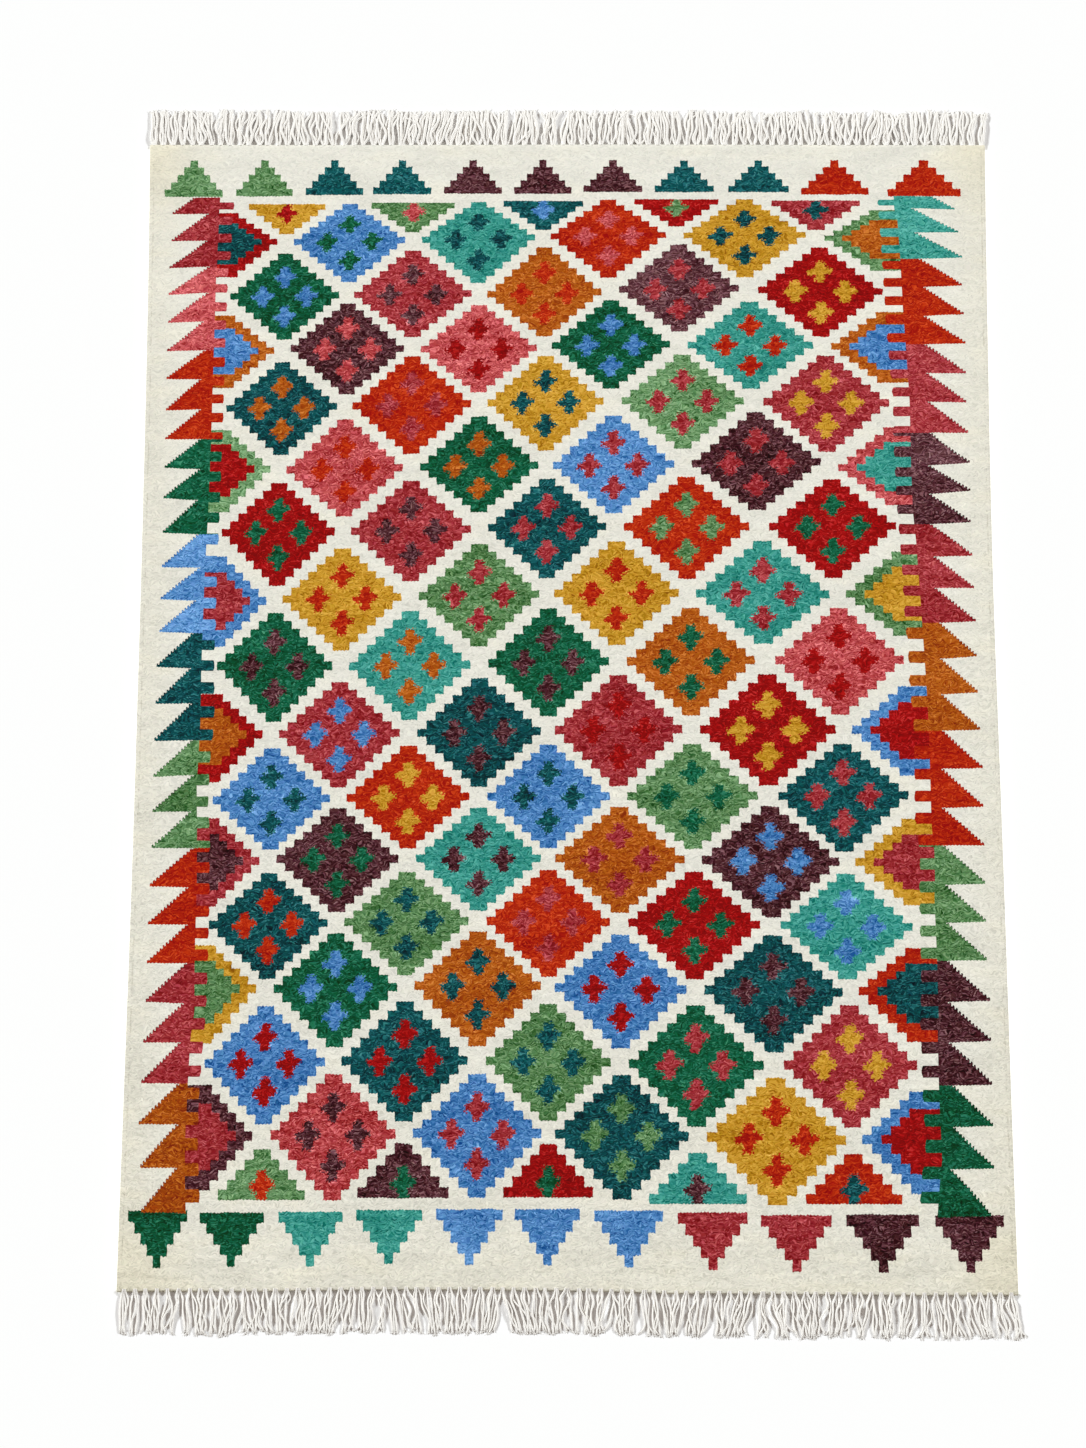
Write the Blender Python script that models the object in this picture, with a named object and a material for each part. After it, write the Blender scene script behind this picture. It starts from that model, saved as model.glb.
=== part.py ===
"""Flat-woven dhurrie rug with a warp fringe at each end, lying flat.

Metres, +Z up.  X runs across the rug and +Y towards its head end.  The rug
lies on the plane z = 0 with the middle of its box over the origin.

Three solids:
  rug_cloth    the woven cloth, one slab with its selvedges
  fringe_head  the warp ends past the head edge, rooted in a narrow heading
  fringe_foot  the warp ends past the foot edge, rooted in a narrow heading
"""
import math
import random

import bmesh
import bpy
from mathutils import Vector

# Cloth
WIDTH = 1.218            # selvedge to selvedge at the waist
LENGTH = 1.780           # woven cloth, head edge to foot edge
THICKNESS = 0.0042       # wool weft beaten over a cotton warp
EDGE_ROUND = 0.0010      # the selvedge turns over the outer warp
SIDE_STEPS = 28          # outline points along each selvedge
END_STEPS = 12           # outline points along each end
HEAD_FLARE = 0.0055      # each selvedge stands out this far at the head
FOOT_FLARE = 0.0062      # and this far at the foot
WAIST = 0.42             # narrowest place, as a fraction of the length from the head
SIDE_WAVER = 0.0006      # slow waver of the selvedges
FOOT_SKEW = 0.0022       # the foot edge runs out this far at the right corner
END_WAVER = 0.0006       # slow waver of the end edges

# Fringes
GAP = 0.0003             # cloth to heading
HEADING_WIDTH = 0.0050   # twined row that holds the warp ends
HEADING_HEIGHT = 0.0036
BUNDLES = 75             # groups of warp ends along one end
CORNER_INSET = 0.0045    # the last group's root, from the cloth's corner
STRAND_RADIUS = 0.0015
STRAND_POINTS = 4
STRAND_SPREAD = 0.0036   # half the opening between a group's two strands at the tips
ROOT_SPREAD = 0.0020     # half the opening at the heading
ROOT_DEPTH = 0.0030      # strand length buried in the heading
HEAD_FRINGE = 0.0490     # mean strand length past the head heading
FOOT_FRINGE = 0.0560
LENGTH_WAVER = 0.0026
LEAN = 0.0022            # sideways lean of a group, at the tips
HEAD_SPLAY = (0.0030, 0.0060)    # outward lean of the last groups, left and right
FOOT_SPLAY = (0.0015, 0.0120)
SEED = 20

WOOL = (0.80, 0.76, 0.64)
COTTON = (0.86, 0.83, 0.78)


def clear_scene():
    for item in list(bpy.data.objects):
        bpy.data.objects.remove(item, do_unlink=True)
    for group in list(bpy.data.collections):
        bpy.data.collections.remove(group)


def new_collection(name):
    group = bpy.data.collections.new(name)
    bpy.context.scene.collection.children.link(group)
    return group


def new_material(name, colour, roughness):
    material = bpy.data.materials.new(name)
    material.use_nodes = True
    shader = material.node_tree.nodes["Principled BSDF"]
    shader.inputs["Base Color"].default_value = (*colour, 1.0)
    shader.inputs["Roughness"].default_value = roughness
    shader.inputs["Metallic"].default_value = 0.0
    material.diffuse_color = (*colour, 1.0)
    return material


def half_width(part, side):
    """Half the cloth's width at a fraction of its length from the head.

    The selvedges draw in towards the waist and stand out at both ends.
    """
    if part < WAIST:
        flare = HEAD_FLARE * ((WAIST - part) / WAIST) ** 2
    else:
        flare = FOOT_FLARE * ((part - WAIST) / (1.0 - WAIST)) ** 1.2
    waver = SIDE_WAVER * math.sin(9.0 * part + 1.7 * side) * math.sin(math.pi * part)
    return WIDTH / 2 + flare + waver


def head_edge(x):
    return LENGTH / 2 + END_WAVER * math.sin(7.0 * x + 0.8)


def foot_edge(x):
    across = min(max(x / WIDTH + 0.5, 0.0), 1.0)
    return -LENGTH / 2 - FOOT_SKEW * (2.0 * across ** 1.5 - 1.0) + END_WAVER * math.sin(8.0 * x)


def cloth_outline():
    """The cloth's outline, anticlockwise from the foot's left corner."""
    left_foot, right_foot = -half_width(1.0, -1), half_width(1.0, 1)
    left_head, right_head = -half_width(0.0, -1), half_width(0.0, 1)
    points = []
    for step in range(END_STEPS):
        x = left_foot + (right_foot - left_foot) * step / END_STEPS
        points.append((x, foot_edge(x)))
    for step in range(SIDE_STEPS):
        part = 1.0 - step / SIDE_STEPS
        end = foot_edge(right_foot), head_edge(right_head)
        points.append((half_width(part, 1), end[1] + (end[0] - end[1]) * part))
    for step in range(END_STEPS):
        x = right_head + (left_head - right_head) * step / END_STEPS
        points.append((x, head_edge(x)))
    for step in range(SIDE_STEPS):
        part = step / SIDE_STEPS
        end = foot_edge(left_foot), head_edge(left_head)
        points.append((-half_width(part, -1), end[1] + (end[0] - end[1]) * part))
    return points


def mesh_from_curve(curve_object):
    """A closed mesh object in the curve's place, its caps welded."""
    graph = bpy.context.evaluated_depsgraph_get()
    mesh = bpy.data.meshes.new_from_object(curve_object.evaluated_get(graph))
    body = bmesh.new()
    body.from_mesh(mesh)
    bmesh.ops.remove_doubles(body, verts=body.verts, dist=0.00001)
    bmesh.ops.recalc_face_normals(body, faces=body.faces)
    body.to_mesh(mesh)
    body.free()
    solid = bpy.data.objects.new(curve_object.name + "_mesh", mesh)
    solid.matrix_world = curve_object.matrix_world
    for group in curve_object.users_collection:
        group.objects.link(solid)
    bpy.data.objects.remove(curve_object, do_unlink=True)
    return solid


def slab(name, outline, height, round_edge, group):
    """A flat outline made solid between z = 0 and its height."""
    curve = bpy.data.curves.new(name, "CURVE")
    curve.dimensions = "2D"
    curve.fill_mode = "BOTH"
    curve.extrude = height / 2 - round_edge
    curve.bevel_depth = round_edge
    curve.bevel_resolution = 1
    curve.offset = -round_edge
    spline = curve.splines.new("POLY")
    spline.points.add(len(outline) - 1)
    for point, (x, y) in zip(spline.points, outline):
        point.co = (x, y, 0.0, 1.0)
    spline.use_cyclic_u = True
    item = bpy.data.objects.new(name, curve)
    item.location.z = height / 2
    group.objects.link(item)
    bpy.context.view_layer.update()
    return mesh_from_curve(item)


def strand_paths(edge, outward, length, left, right, splay, dice):
    """The warp ends of one fringe, each a short run of points.

    Two strands leave each group's place on the heading, part a little and
    rest level on the floor.  The groups near a corner lean outward.
    """
    paths = []
    for group in range(BUNDLES):
        across = group / (BUNDLES - 1)
        root = left + (right - left) * across
        lean = dice.uniform(-LEAN, LEAN) * (1.0 - abs(2.0 * across - 1.0) ** 16)
        lean += splay[1] * across ** 20 - splay[0] * (1.0 - across) ** 20
        reach = length + dice.uniform(-LENGTH_WAVER, LENGTH_WAVER)
        for side in (-1, 1):
            own = reach + dice.uniform(-LENGTH_WAVER, LENGTH_WAVER) / 2
            bow = dice.uniform(-0.0004, 0.0004)
            start = edge(root) + outward * (GAP + HEADING_WIDTH - ROOT_DEPTH)
            path = []
            for step in range(STRAND_POINTS):
                part = step / (STRAND_POINTS - 1)
                opening = ROOT_SPREAD + (STRAND_SPREAD - ROOT_SPREAD) * math.sin(part * math.pi / 2)
                x = root + side * opening + lean * part ** 1.5 + bow * math.sin(math.pi * part)
                y = start + outward * (own + ROOT_DEPTH) * part
                path.append(Vector((x, y, STRAND_RADIUS)))
            paths.append(path)
    return paths


def strands(name, paths, group):
    """The warp ends as four-sided cords lying on the floor."""
    curve = bpy.data.curves.new(name, "CURVE")
    curve.dimensions = "3D"
    curve.bevel_depth = STRAND_RADIUS
    curve.bevel_resolution = 0
    curve.use_fill_caps = True
    for path in paths:
        spline = curve.splines.new("POLY")
        spline.points.add(len(path) - 1)
        for point, place in zip(spline.points, path):
            point.co = (*place, 1.0)
    item = bpy.data.objects.new(name, curve)
    group.objects.link(item)
    bpy.context.view_layer.update()
    solid = mesh_from_curve(item)
    lowest = min(vertex.co.z for vertex in solid.data.vertices)
    for vertex in solid.data.vertices:
        vertex.co.z -= lowest
    return solid


def fringe(name, edge, outward, length, splay, left, right, parts, helpers, dice):
    """A heading along one end of the cloth with the warp ends rooted in it."""
    steps = [left + (right - left) * step / END_STEPS for step in range(END_STEPS + 1)]
    near = [(x, edge(x) + outward * GAP) for x in steps]
    far = [(x, edge(x) + outward * (GAP + HEADING_WIDTH)) for x in reversed(steps)]
    heading = slab(name, near + far, HEADING_HEIGHT, 0.0006, parts)
    heading.name = name
    heading.data.name = name
    paths = strand_paths(edge, outward, length, left + CORNER_INSET, right - CORNER_INSET,
                         splay, dice)
    cords = strands(name + "_strands", paths, helpers)
    cords.hide_render = True
    cords.display_type = "WIRE"
    union = heading.modifiers.new("strands", "BOOLEAN")
    union.operation = "UNION"
    union.solver = "EXACT"
    union.object = cords
    return heading


def box_shift(items):
    """The move that stands the box of all the parts over the origin."""
    graph = bpy.context.evaluated_depsgraph_get()
    corners = []
    for item in items:
        seen = item.evaluated_get(graph)
        mesh = seen.to_mesh()
        corners += [item.matrix_world @ vertex.co for vertex in mesh.vertices]
        seen.to_mesh_clear()
    return Vector((
        -(min(c.x for c in corners) + max(c.x for c in corners)) / 2,
        -(min(c.y for c in corners) + max(c.y for c in corners)) / 2,
        -min(c.z for c in corners),
    ))


def main():
    clear_scene()
    rug = new_collection("dhurrie_rug")
    helpers = new_collection("helpers")
    dice = random.Random(SEED)

    cloth = slab("rug_cloth", cloth_outline(), THICKNESS, EDGE_ROUND, rug)
    cloth.name = "rug_cloth"
    cloth.data.name = "rug_cloth"

    head = fringe("fringe_head", head_edge, 1, HEAD_FRINGE, HEAD_SPLAY,
                  -half_width(0.0, -1), half_width(0.0, 1), rug, helpers, dice)
    foot = fringe("fringe_foot", foot_edge, -1, FOOT_FRINGE, FOOT_SPLAY,
                  -half_width(1.0, -1), half_width(1.0, 1), rug, helpers, dice)

    cloth.data.materials.append(new_material("wool_weave", WOOL, 0.92))
    head.data.materials.append(new_material("cotton_warp_head", COTTON, 0.90))
    foot.data.materials.append(new_material("cotton_warp_foot", COTTON, 0.90))

    bpy.context.view_layer.update()
    shift = box_shift([cloth, head, foot])
    for item in list(rug.objects) + list(helpers.objects):
        item.location += shift
    bpy.context.view_layer.update()


main()
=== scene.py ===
"""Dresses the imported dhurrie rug: woven cloth, warp fringes, floor, light and camera.

The cloth is charted in millimetres: "across" runs from its left selvedge line and
"down" from its head edge.  The frame is in metres, +Y towards the head.
"""
import functools
import math
import random
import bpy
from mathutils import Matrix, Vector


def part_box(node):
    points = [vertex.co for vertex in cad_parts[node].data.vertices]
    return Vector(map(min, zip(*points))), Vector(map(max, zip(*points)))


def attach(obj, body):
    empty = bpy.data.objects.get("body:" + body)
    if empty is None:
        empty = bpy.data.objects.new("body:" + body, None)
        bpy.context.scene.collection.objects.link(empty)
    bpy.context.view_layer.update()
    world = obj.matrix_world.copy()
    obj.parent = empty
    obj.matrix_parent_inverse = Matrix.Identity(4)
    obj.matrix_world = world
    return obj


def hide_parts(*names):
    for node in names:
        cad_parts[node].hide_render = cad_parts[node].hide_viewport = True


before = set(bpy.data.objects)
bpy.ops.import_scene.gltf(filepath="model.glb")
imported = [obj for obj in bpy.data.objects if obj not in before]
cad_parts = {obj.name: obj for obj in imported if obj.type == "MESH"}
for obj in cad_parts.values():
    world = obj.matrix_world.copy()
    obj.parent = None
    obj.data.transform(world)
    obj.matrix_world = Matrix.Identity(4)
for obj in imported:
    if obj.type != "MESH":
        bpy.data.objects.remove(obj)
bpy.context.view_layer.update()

from types import SimpleNamespace

import bpy
from bpy.props import FloatProperty, FloatVectorProperty, IntProperty, PointerProperty
from mathutils import Vector

bl_info = {
    "name": "Dhurrie rug",
    "version": (1, 0, 0),
    "blender": (4, 5, 0),
    "location": "3D View > Sidebar > Rug",
    "description": "Weaves a stepped-diamond dhurrie rug over its packed model",
    "category": "Add Mesh",
}

CLOTH_LOW, CLOTH_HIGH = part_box("rug_cloth")
MIDDLE_X = (CLOTH_LOW.x + CLOTH_HIGH.x) / 2
HALF_SPAN = 0.615  # the line from which "across" is counted, left of the middle

# The cloth's outline, as its solid has it.
WAIST = 0.42  # narrowest place, as a fraction of the length from the head
HEAD_FLARE = 0.0055  # each selvedge stands out this far at the head
FOOT_FLARE = 0.0062  # and this far at the foot
WAVER = 0.0006  # slow waver of all four edges
HEAD_BACK = 0.0007  # the woven head edge stands this far inside the solid's
FOOT_SKEW = 0.0022  # the foot edge runs out this far at the right corner
HEAD_Y = CLOTH_HIGH.y - WAVER


# ---- the weaver's chart

# Columns of the lattice: (across, half width) at the three heights below.
COLUMN_DOWN = (160, 840, 1550)
COLUMNS = (
    ((111, 80), (104.5, 80), (101, 80)),
    ((204, 79), (199, 82), (195.5, 83.5)),
    ((296.5, 81.5), (292.5, 85.5), (292, 86)),
    ((389.5, 85.5), (391, 86), (389.5, 87.5)),
    ((485, 83), (490, 87), (490.5, 88.5)),
    ((580.5, 82.5), (588, 86), (588.5, 86.5)),
    ((675, 84.5), (687, 90), (690, 92)),
    ((776, 86.5), (790.5, 91), (793.5, 93.5)),
    ((874.5, 89.5), (898, 96), (903, 96)),
    ((981, 90.5), (1002, 91.5), (1007.5, 92.5)),
    ((1083, 92), (1109, 92), (1113, 92)),
)

# Each motif names its yarns.  A paler lot of a yarn is marked + and a deeper one -.

# Rows of stepped diamonds from the head, each in every second column: top, middle,
# bottom, ground yarn and cross yarn.  The first number is the row's first column.
DIAMOND_ROWS = (
    (2, (100, 161, 229, "sky forest"), (97, 157, 231, "jade petrol"),
     (93, 152, 222, "vermilion rose"), (92, 151, 221, "gold petrol")),
    (1, (182, 251.5, 323, "forest sky"), (177, 249, 319, "crimson plum"),
     (172, 247.5, 318, "ochre vermilion"), (167, 240, 310, "plum+ crimson"),
     (172, 243, 318, "madder gold")),
    (2, (264, 338, 412, "plum rose"), (267, 338, 409, "rose+ madder"),
     (259, 332, 403, "forest sky"), (261, 332, 403, "jade vermilion")),
    (1, (360, 433, 510, "petrol ochre"), (351, 429, 508, "vermilion crimson"),
     (350, 424.5, 503, "gold petrol"), (348, 422.5, 500, "sage+ crimson"),
     (349, 424.5, 505, "crimson gold")),
    (2, (453, 532.5, 608, "rose vermilion"), (448, 528, 601, "forest ochre"),
     (447, 525.5, 603, "sky+ crimson"), (441, 522.5, 598, "plum crimson")),
    (1, (555, 633, 718, "madder forest"), (551, 630, 711, "crimson plum"),
     (548, 625, 706, "petrol crimson"), (545, 624, 707, "vermilion sage"),
     (549, 623.5, 706, "madder forest")),
    (2, (659, 737.5, 820, "gold vermilion"), (652, 732.5, 813, "sage crimson"),
     (648, 729.5, 811, "gold vermilion"), (647, 731, 809, "jade crimson")),
    (1, (761, 843.5, 931, "forest plum"), (758, 843, 928, "jade ochre"),
     (754, 838, 922, "forest plum"), (753, 835.5, 921, "ochre forest"),
     (753, 834.5, 920, "rose madder")),
    (2, (869, 949, 1032, "crimson sky"), (863, 946.5, 1031, "petrol plum"),
     (858, 942.5, 1030, "crimson madder"), (857, 942.5, 1029, "madder gold")),
    (1, (972, 1050.5, 1127, "sky petrol"), (968, 1047, 1125, "vermilion gold"),
     (966, 1046, 1125, "sky petrol"), (965, 1045, 1126, "sage forest"),
     (965, 1044, 1130, "petrol crimson")),
    (2, (1064, 1141, 1222, "plum forest"), (1063, 1140.5, 1220, "jade plum"),
     (1062, 1141, 1223, "ochre crimson"), (1061, 1144, 1230, "plum sky")),
    (1, (1163, 1239.5, 1323, "petrol vermilion"), (1161, 1236, 1317, "sage petrol"),
     (1158, 1236, 1319, "vermilion crimson"), (1161, 1239.5, 1323, "madder forest"),
     (1164, 1243, 1323, "jade sky")),
    (2, (1254, 1335.5, 1424, "forest sky"), (1251, 1332.5, 1423, "ochre petrol"),
     (1256, 1336.5, 1426, "sky madder"), (1257, 1340.5, 1432, "petrol plum")),
    (1, (1363, 1447, 1538, "sky madder"), (1356, 1444, 1534, "petrol madder"),
     (1360, 1445.5, 1533, "sage- petrol"), (1362, 1450, 1542, "forest crimson"),
     (1362, 1450.5, 1543, "crimson gold")),
    (2, (1464, 1553, 1649, "rose- plum"), (1464, 1551, 1645, "sky crimson"),
     (1466, 1553.5, 1648, "petrol sage"), (1470, 1559, 1658, "gold vermilion")),
)

# Half diamonds that the ends cut off, in every second column: flat edge, point, yarns.
HEAD_HALVES = ((100, 150, "gold madder"), (98, 147, "sage rose"), (95, 143, "petrol sky"),
               (92, 137, "madder sage"), (94, 143, "crimson petrol"))
FOOT_HALVES = ((1649, 1575, "sage vermilion"), (1646, 1566, "plum forest"),
               (1645, 1567, "madder forest"), (1655, 1580, "jade plum"),
               (1655, 1582, "vermilion petrol"))

# Arrowheads against the side borders: top, tip, bottom, outer yarn and inner yarn.  Where
# the word cut follows, the inner yarn's top row stops short of the bars.
LEFT_ARROWS = ((115, 162, 221, "madder petrol"), (284, 341, 402, "ochre sky"),
               (470, 532, 602, "sage++ madder"), (672, 742, 814, "sky crimson"),
               (888, 950, 1024, "madder ochre"), (1079, 1144, 1214, "crimson plum cut"),
               (1272, 1336, 1419, "gold sage"), (1480, 1555, 1635, "plum crimson cut"))
RIGHT_ARROWS = ((110, 156, 210, "sage ochre"), (278, 334, 393, "ochre sky"),
                (465, 530, 590, "rose jade"), (664, 731, 797, "sage gold"),
                (876, 943, 1014, "sky madder"), (1080, 1146, 1212, "gold crimson"),
                (1276, 1340, 1417, "vermilion petrol"), (1490, 1560, 1640, "sky madder"))

# Saw teeth of the side borders: how far down each point lies and how far down the
# notch behind it, then the yarns of each three.
LEFT_TEETH = (
    (72.5, 72), (116.5, 116.5), (161.5, 160.5), (206, 203.5), (250, 246), (295.5, 293.5),
    (342, 340.5), (387.5, 387.5), (438.5, 436.5), (485, 484.5), (530.5, 533), (579.5, 582.5),
    (634.5, 637), (689, 690), (739.5, 742), (791, 792.5), (845.5, 847.5), (903, 902.5),
    (960.5, 959.5), (1016, 1012.5), (1069.5, 1069), (1124.5, 1124.5), (1183, 1184.5),
    (1240.5, 1241), (1299, 1298.5), (1356.5, 1359), (1417.5, 1417), (1477.5, 1478),
    (1538, 1538), (1602, 1602), (1667, 1667), (1729, 1729))
RIGHT_TEETH = (
    (69, 68), (109, 106.5), (146.5, 147), (188.5, 190.5), (234.5, 237), (281.5, 284.5),
    (329, 330.5), (378, 377.5), (425, 424), (474, 474), (522.5, 527), (567, 572.5),
    (617.5, 620.5), (670.5, 672), (721.5, 721.5), (774, 776.5), (829, 833), (885.5, 888.5),
    (943.5, 944.5), (1002.5, 1003.5), (1062, 1063.5), (1121, 1120.5), (1179, 1181),
    (1236.5, 1238.5), (1294.5, 1295), (1355, 1357), (1415, 1417.5), (1480, 1481),
    (1540.5, 1542.5), (1602.5, 1604.5), (1673, 1673), (1735, 1735))
LEFT_YARNS = "crimson rose+ vermilion forest sky++ petrol sage vermilion crimson ochre-"
RIGHT_YARNS = "jade+ vermilion crimson+ plum+ crimson ochre vermilion sage plum- forest-"

# Lines of the side borders, (down, across): tooth points, tooth roots, the inner edge
# of the solid strip, and the ends of the short bars that stand out from it.
LEFT_LINES = (
    ((60, 36.5), (160, 36.5), (206, 34), (690, 35), (790, 34), (845, 31), (1124, 31), (1240, 29),
     (1360, 29), (1418, 27), (1538, 24), (1602, 27.5), (1670, 31)),
    ((60, 91), (160, 88), (206, 93), (250, 92), (295, 86), (341, 90), (386, 84.5), (530, 86.5),
     (580, 83.5), (634, 85.5), (689, 90), (740, 85), (846, 80), (902, 82.5), (1014, 88), (1069, 85),
     (1124, 90), (1183, 84), (1298, 85), (1418, 78.5), (1600, 78), (1700, 82)),
    ((60, 107), (110, 105), (230, 102.5), (400, 101.5), (490, 101), (600, 99.5), (700, 96.5),
     (850, 95), (933, 95.5), (1030, 92.5), (1100, 94.5), (1190, 96), (1300, 95.5), (1370, 97),
     (1410, 92.5), (1470, 90.5), (1560, 88.5), (1620, 89.5), (1670, 92)),
    ((60, 127), (112, 126.5), (127, 124.5), (185, 123), (211, 120), (300, 118.5), (480, 117.5),
     (640, 115), (840, 113), (930, 115.5), (985, 110.5), (1060, 109.5), (1100, 112.5),
     (1240, 114.5), (1355, 113.5), (1390, 112), (1440, 109), (1500, 106), (1570, 106),
     (1605, 108), (1645, 110)),
)
RIGHT_LINES = (
    ((60, 1178), (108, 1182.5), (146, 1187), (189, 1192), (236, 1190), (328, 1193.5),
     (425, 1192), (522, 1195), (617, 1193.5), (774, 1197), (885, 1197), (1000, 1201),
     (1294, 1199.5), (1355, 1202.5), (1600, 1202), (1670, 1196)),
    ((60, 1114), (108, 1119), (146, 1123), (236, 1133.5), (330, 1133.5), (474, 1138.5), (520, 1135),
     (617, 1135), (671, 1139.5), (721, 1139.5), (774, 1145), (944, 1145.5), (1003, 1143),
     (1120, 1142), (1180, 1144.5), (1415, 1143.5), (1480, 1147.5), (1540, 1147), (1602, 1141.5),
     (1700, 1141)),
    ((60, 1093), (110, 1094), (122, 1098), (186, 1101), (273, 1103.5), (336, 1106.5), (423, 1110),
     (530, 1110), (600, 1111), (645, 1114.5), (740, 1119), (890, 1125), (935, 1126.5),
     (1090, 1127), (1130, 1130), (1170, 1130), (1200, 1128.5), (1310, 1130.5), (1380, 1130.5),
     (1400, 1128.5), (1500, 1128.5), (1590, 1130.5), (1620, 1127), (1670, 1122.5)),
    ((60, 1068.5), (200, 1075), (300, 1078.5), (350, 1081.5), (400, 1085.5), (480, 1085.5),
     (600, 1088.5), (640, 1091), (700, 1094), (765, 1096), (830, 1100), (866, 1100.5),
     (898, 1102.5), (936, 1105.5), (1080, 1104), (1112, 1108), (1147, 1109.5), (1180, 1108),
     (1320, 1107.5), (1390, 1105), (1500, 1106), (1570, 1108.5), (1608, 1103), (1645, 1099.5)),
)
# The middles of the bars, from the head.
LEFT_BARS = (
    103, 127, 156.5, 185.5, 213, 238.5, 269.5, 299.5, 328, 360, 391, 419, 449.5, 481.5, 512.5,
    544.5, 578, 610, 644, 680, 712, 745.5, 780, 811.5, 843, 878, 916, 951, 985, 1020.5, 1054, 1085,
    1123, 1154, 1186.5, 1221, 1253.5, 1286, 1322, 1355.5, 1389, 1425, 1460, 1492, 1529.5, 1567.5,
    1604, 1643)
RIGHT_BARS = (
    97.5, 117, 147.5, 174.5, 200.5, 229, 259.5, 289, 320.5, 348, 379, 407.5, 439.5, 471, 504.5,
    537.5, 566.5, 596.5, 628, 660.5, 693, 726, 758, 792.5, 830, 867.5, 898.5, 937, 979, 1011.5,
    1045.5, 1079, 1114, 1149, 1184, 1217, 1250.5, 1283.5, 1318, 1354.5, 1390, 1425, 1460.5, 1496.5,
    1532, 1570.5, 1610, 1645.5)

# Stepped triangles along the ends: left, right, base, point and yarn.
HEAD_TRIANGLES = (
    (24, 109, 88, 27, "sage+"), (129, 212, 87, 27, "sage"), (231, 315, 85, 27, "petrol+"),
    (330, 415, 84, 27, "petrol+"), (434, 519, 83, 27, "plum"), (537, 621, 83, 27, "plum"),
    (639, 725, 80, 27, "plum"), (743, 830, 80, 27, "petrol+"), (851, 940, 80, 27, "petrol+"),
    (958, 1057, 84, 27, "vermilion"), (1085, 1192, 87, 27, "vermilion"),
)
FOOT_TRIANGLES = (
    (13, 94, 1664, 1747, "forest-"), (111, 199, 1667, 1745, "forest-"),
    (219, 307, 1666, 1745, "jade"), (325, 416, 1663, 1742, "jade"),
    (435, 526, 1662, 1743, "sky+"), (543, 632, 1662, 1744, "sky"),
    (652, 746, 1664, 1746, "sky+"), (766, 862, 1667, 1750, "crimson"),
    (880, 977, 1671, 1753, "crimson"), (997, 1097, 1670, 1754, "plum-"),
    (1119, 1213, 1671, 1754, "plum"),
)
# The plain lines between the end triangles and the lattice, (across, down).
HEAD_LINE = ((0, 93), (300, 92), (640, 86), (850, 86), (1060, 90), (1230, 90))
FOOT_LINE = ((0, 1659), (300, 1657), (590, 1654), (800, 1657), (1000, 1663), (1230, 1665))

# How far the foot edge bows out past its plain line, (across, millimetres).
FOOT_BOW = ((0, 4), (60, 3), (200, 2.6), (260, 1), (380, -1), (500, -1), (600, 0.3), (680, 1.8),
            (750, 4), (920, 4.6), (1100, 4.5), (1230, 3.2))

# How strongly a yarn is mottled, where it isn't as most are.
MOTTLE = {"plum": 1.15, "sage": 1.2, "rose": 1.2, "sky": 1.1, "forest": 0.9, "gold": 0.9,
          "madder": 0.85, "ochre": 0.9, "vermilion": 0.75}

# The kinds of motif.  Each is woven on a grid of its own, steps across and rows down.
DIAMOND, ARROWHEAD, CUT_ARROWHEAD, TRIANGLE = 1, 2, 2.25, 3
HALF_STEPS = 7  # steps from a motif's middle to its side point
HALF_ROWS = 6.5  # rows from a diamond's middle to its top or bottom
ARROW_ROWS = 5.5  # and from an arrowhead's tip
END_ROWS = 5  # rows of an end triangle, and of a half diamond
NEXT_BUT_ONE = 196.0  # from one diamond of a row to the next, across
# A cross is five bars on one middle, each (half width, half height).
CROSS_BARS = ((0.56, 1.38), (0.34, 1.56), (0.80, 0.62), (1.10, 0.46), (1.40, 0.28))
CROSS_STEP = 2.79  # a diamond's side crosses stand this many steps from its middle
CROSS_ROW = 3.0  # and its upper and lower cross this many rows
UNCUT = 9  # a row limit that cuts nothing off

# The weave and the side borders.
WARP_PITCH = 4.7  # millimetres from one ridge of the hidden warps to the next
WEFT_PITCH = 1.3
SEAM_SHADE = (0.32, 0.28, 0.20, 1.0)
CLOTH_SPAN = 1224.0  # the cloth's mean width
BORDER_REACH = 140, 1060  # the borders lie outside these lines, counted across
TOOTH_STEPS = 13.0  # steps along the slope of one saw tooth
STEP_CLIMB = 0.075  # how far one step climbs, as a share of the tooth
TEETH_IN_GROUP, TEETH_GROUPS = 3.0, 10.0  # groups of one yarn
TEETH_START = -0.62  # where the first tooth begins at the left, in teeth
TEETH_END = 29.02


def along(line, place):
    """The value of a bent line, ((place, value), ...), at one place."""
    for (start, low), (end, high) in zip(line, line[1:]):
        if place <= end or (end, high) == line[-1]:
            return low + (high - low) * (place - start) / (end - start)


def count_at(marks, place):
    """How many marks lie before a place, with the part of the gap it stands in."""
    step = 1
    while step < len(marks) - 1 and place > marks[step]:
        step += 1
    return step - 1 + (place - marks[step - 1]) / (marks[step] - marks[step - 1])


# ---- settings

def linear(red, green, blue):
    """A colour given as it looks on a screen, 0 to 255, in linear light."""
    parts = []
    for value in (red, green, blue):
        value /= 255
        parts.append(value / 12.92 if value <= 0.04045 else ((value + 0.055) / 1.055) ** 2.4)
    return tuple(parts)


def tint(label, *screen):
    """A setting for a colour, given as it looks on a screen."""
    return FloatVectorProperty(name=label, description="Colour of: " + label, subtype="COLOR",
                               size=3, min=0.0, max=1.0, default=linear(*screen))


def metres(label, description, default):
    """A setting for a size."""
    return FloatProperty(name=label, description=description, default=default, unit="LENGTH")


def whole(label, description, default):
    """A setting for a whole number."""
    return IntProperty(name=label, description=description, default=default)


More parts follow.
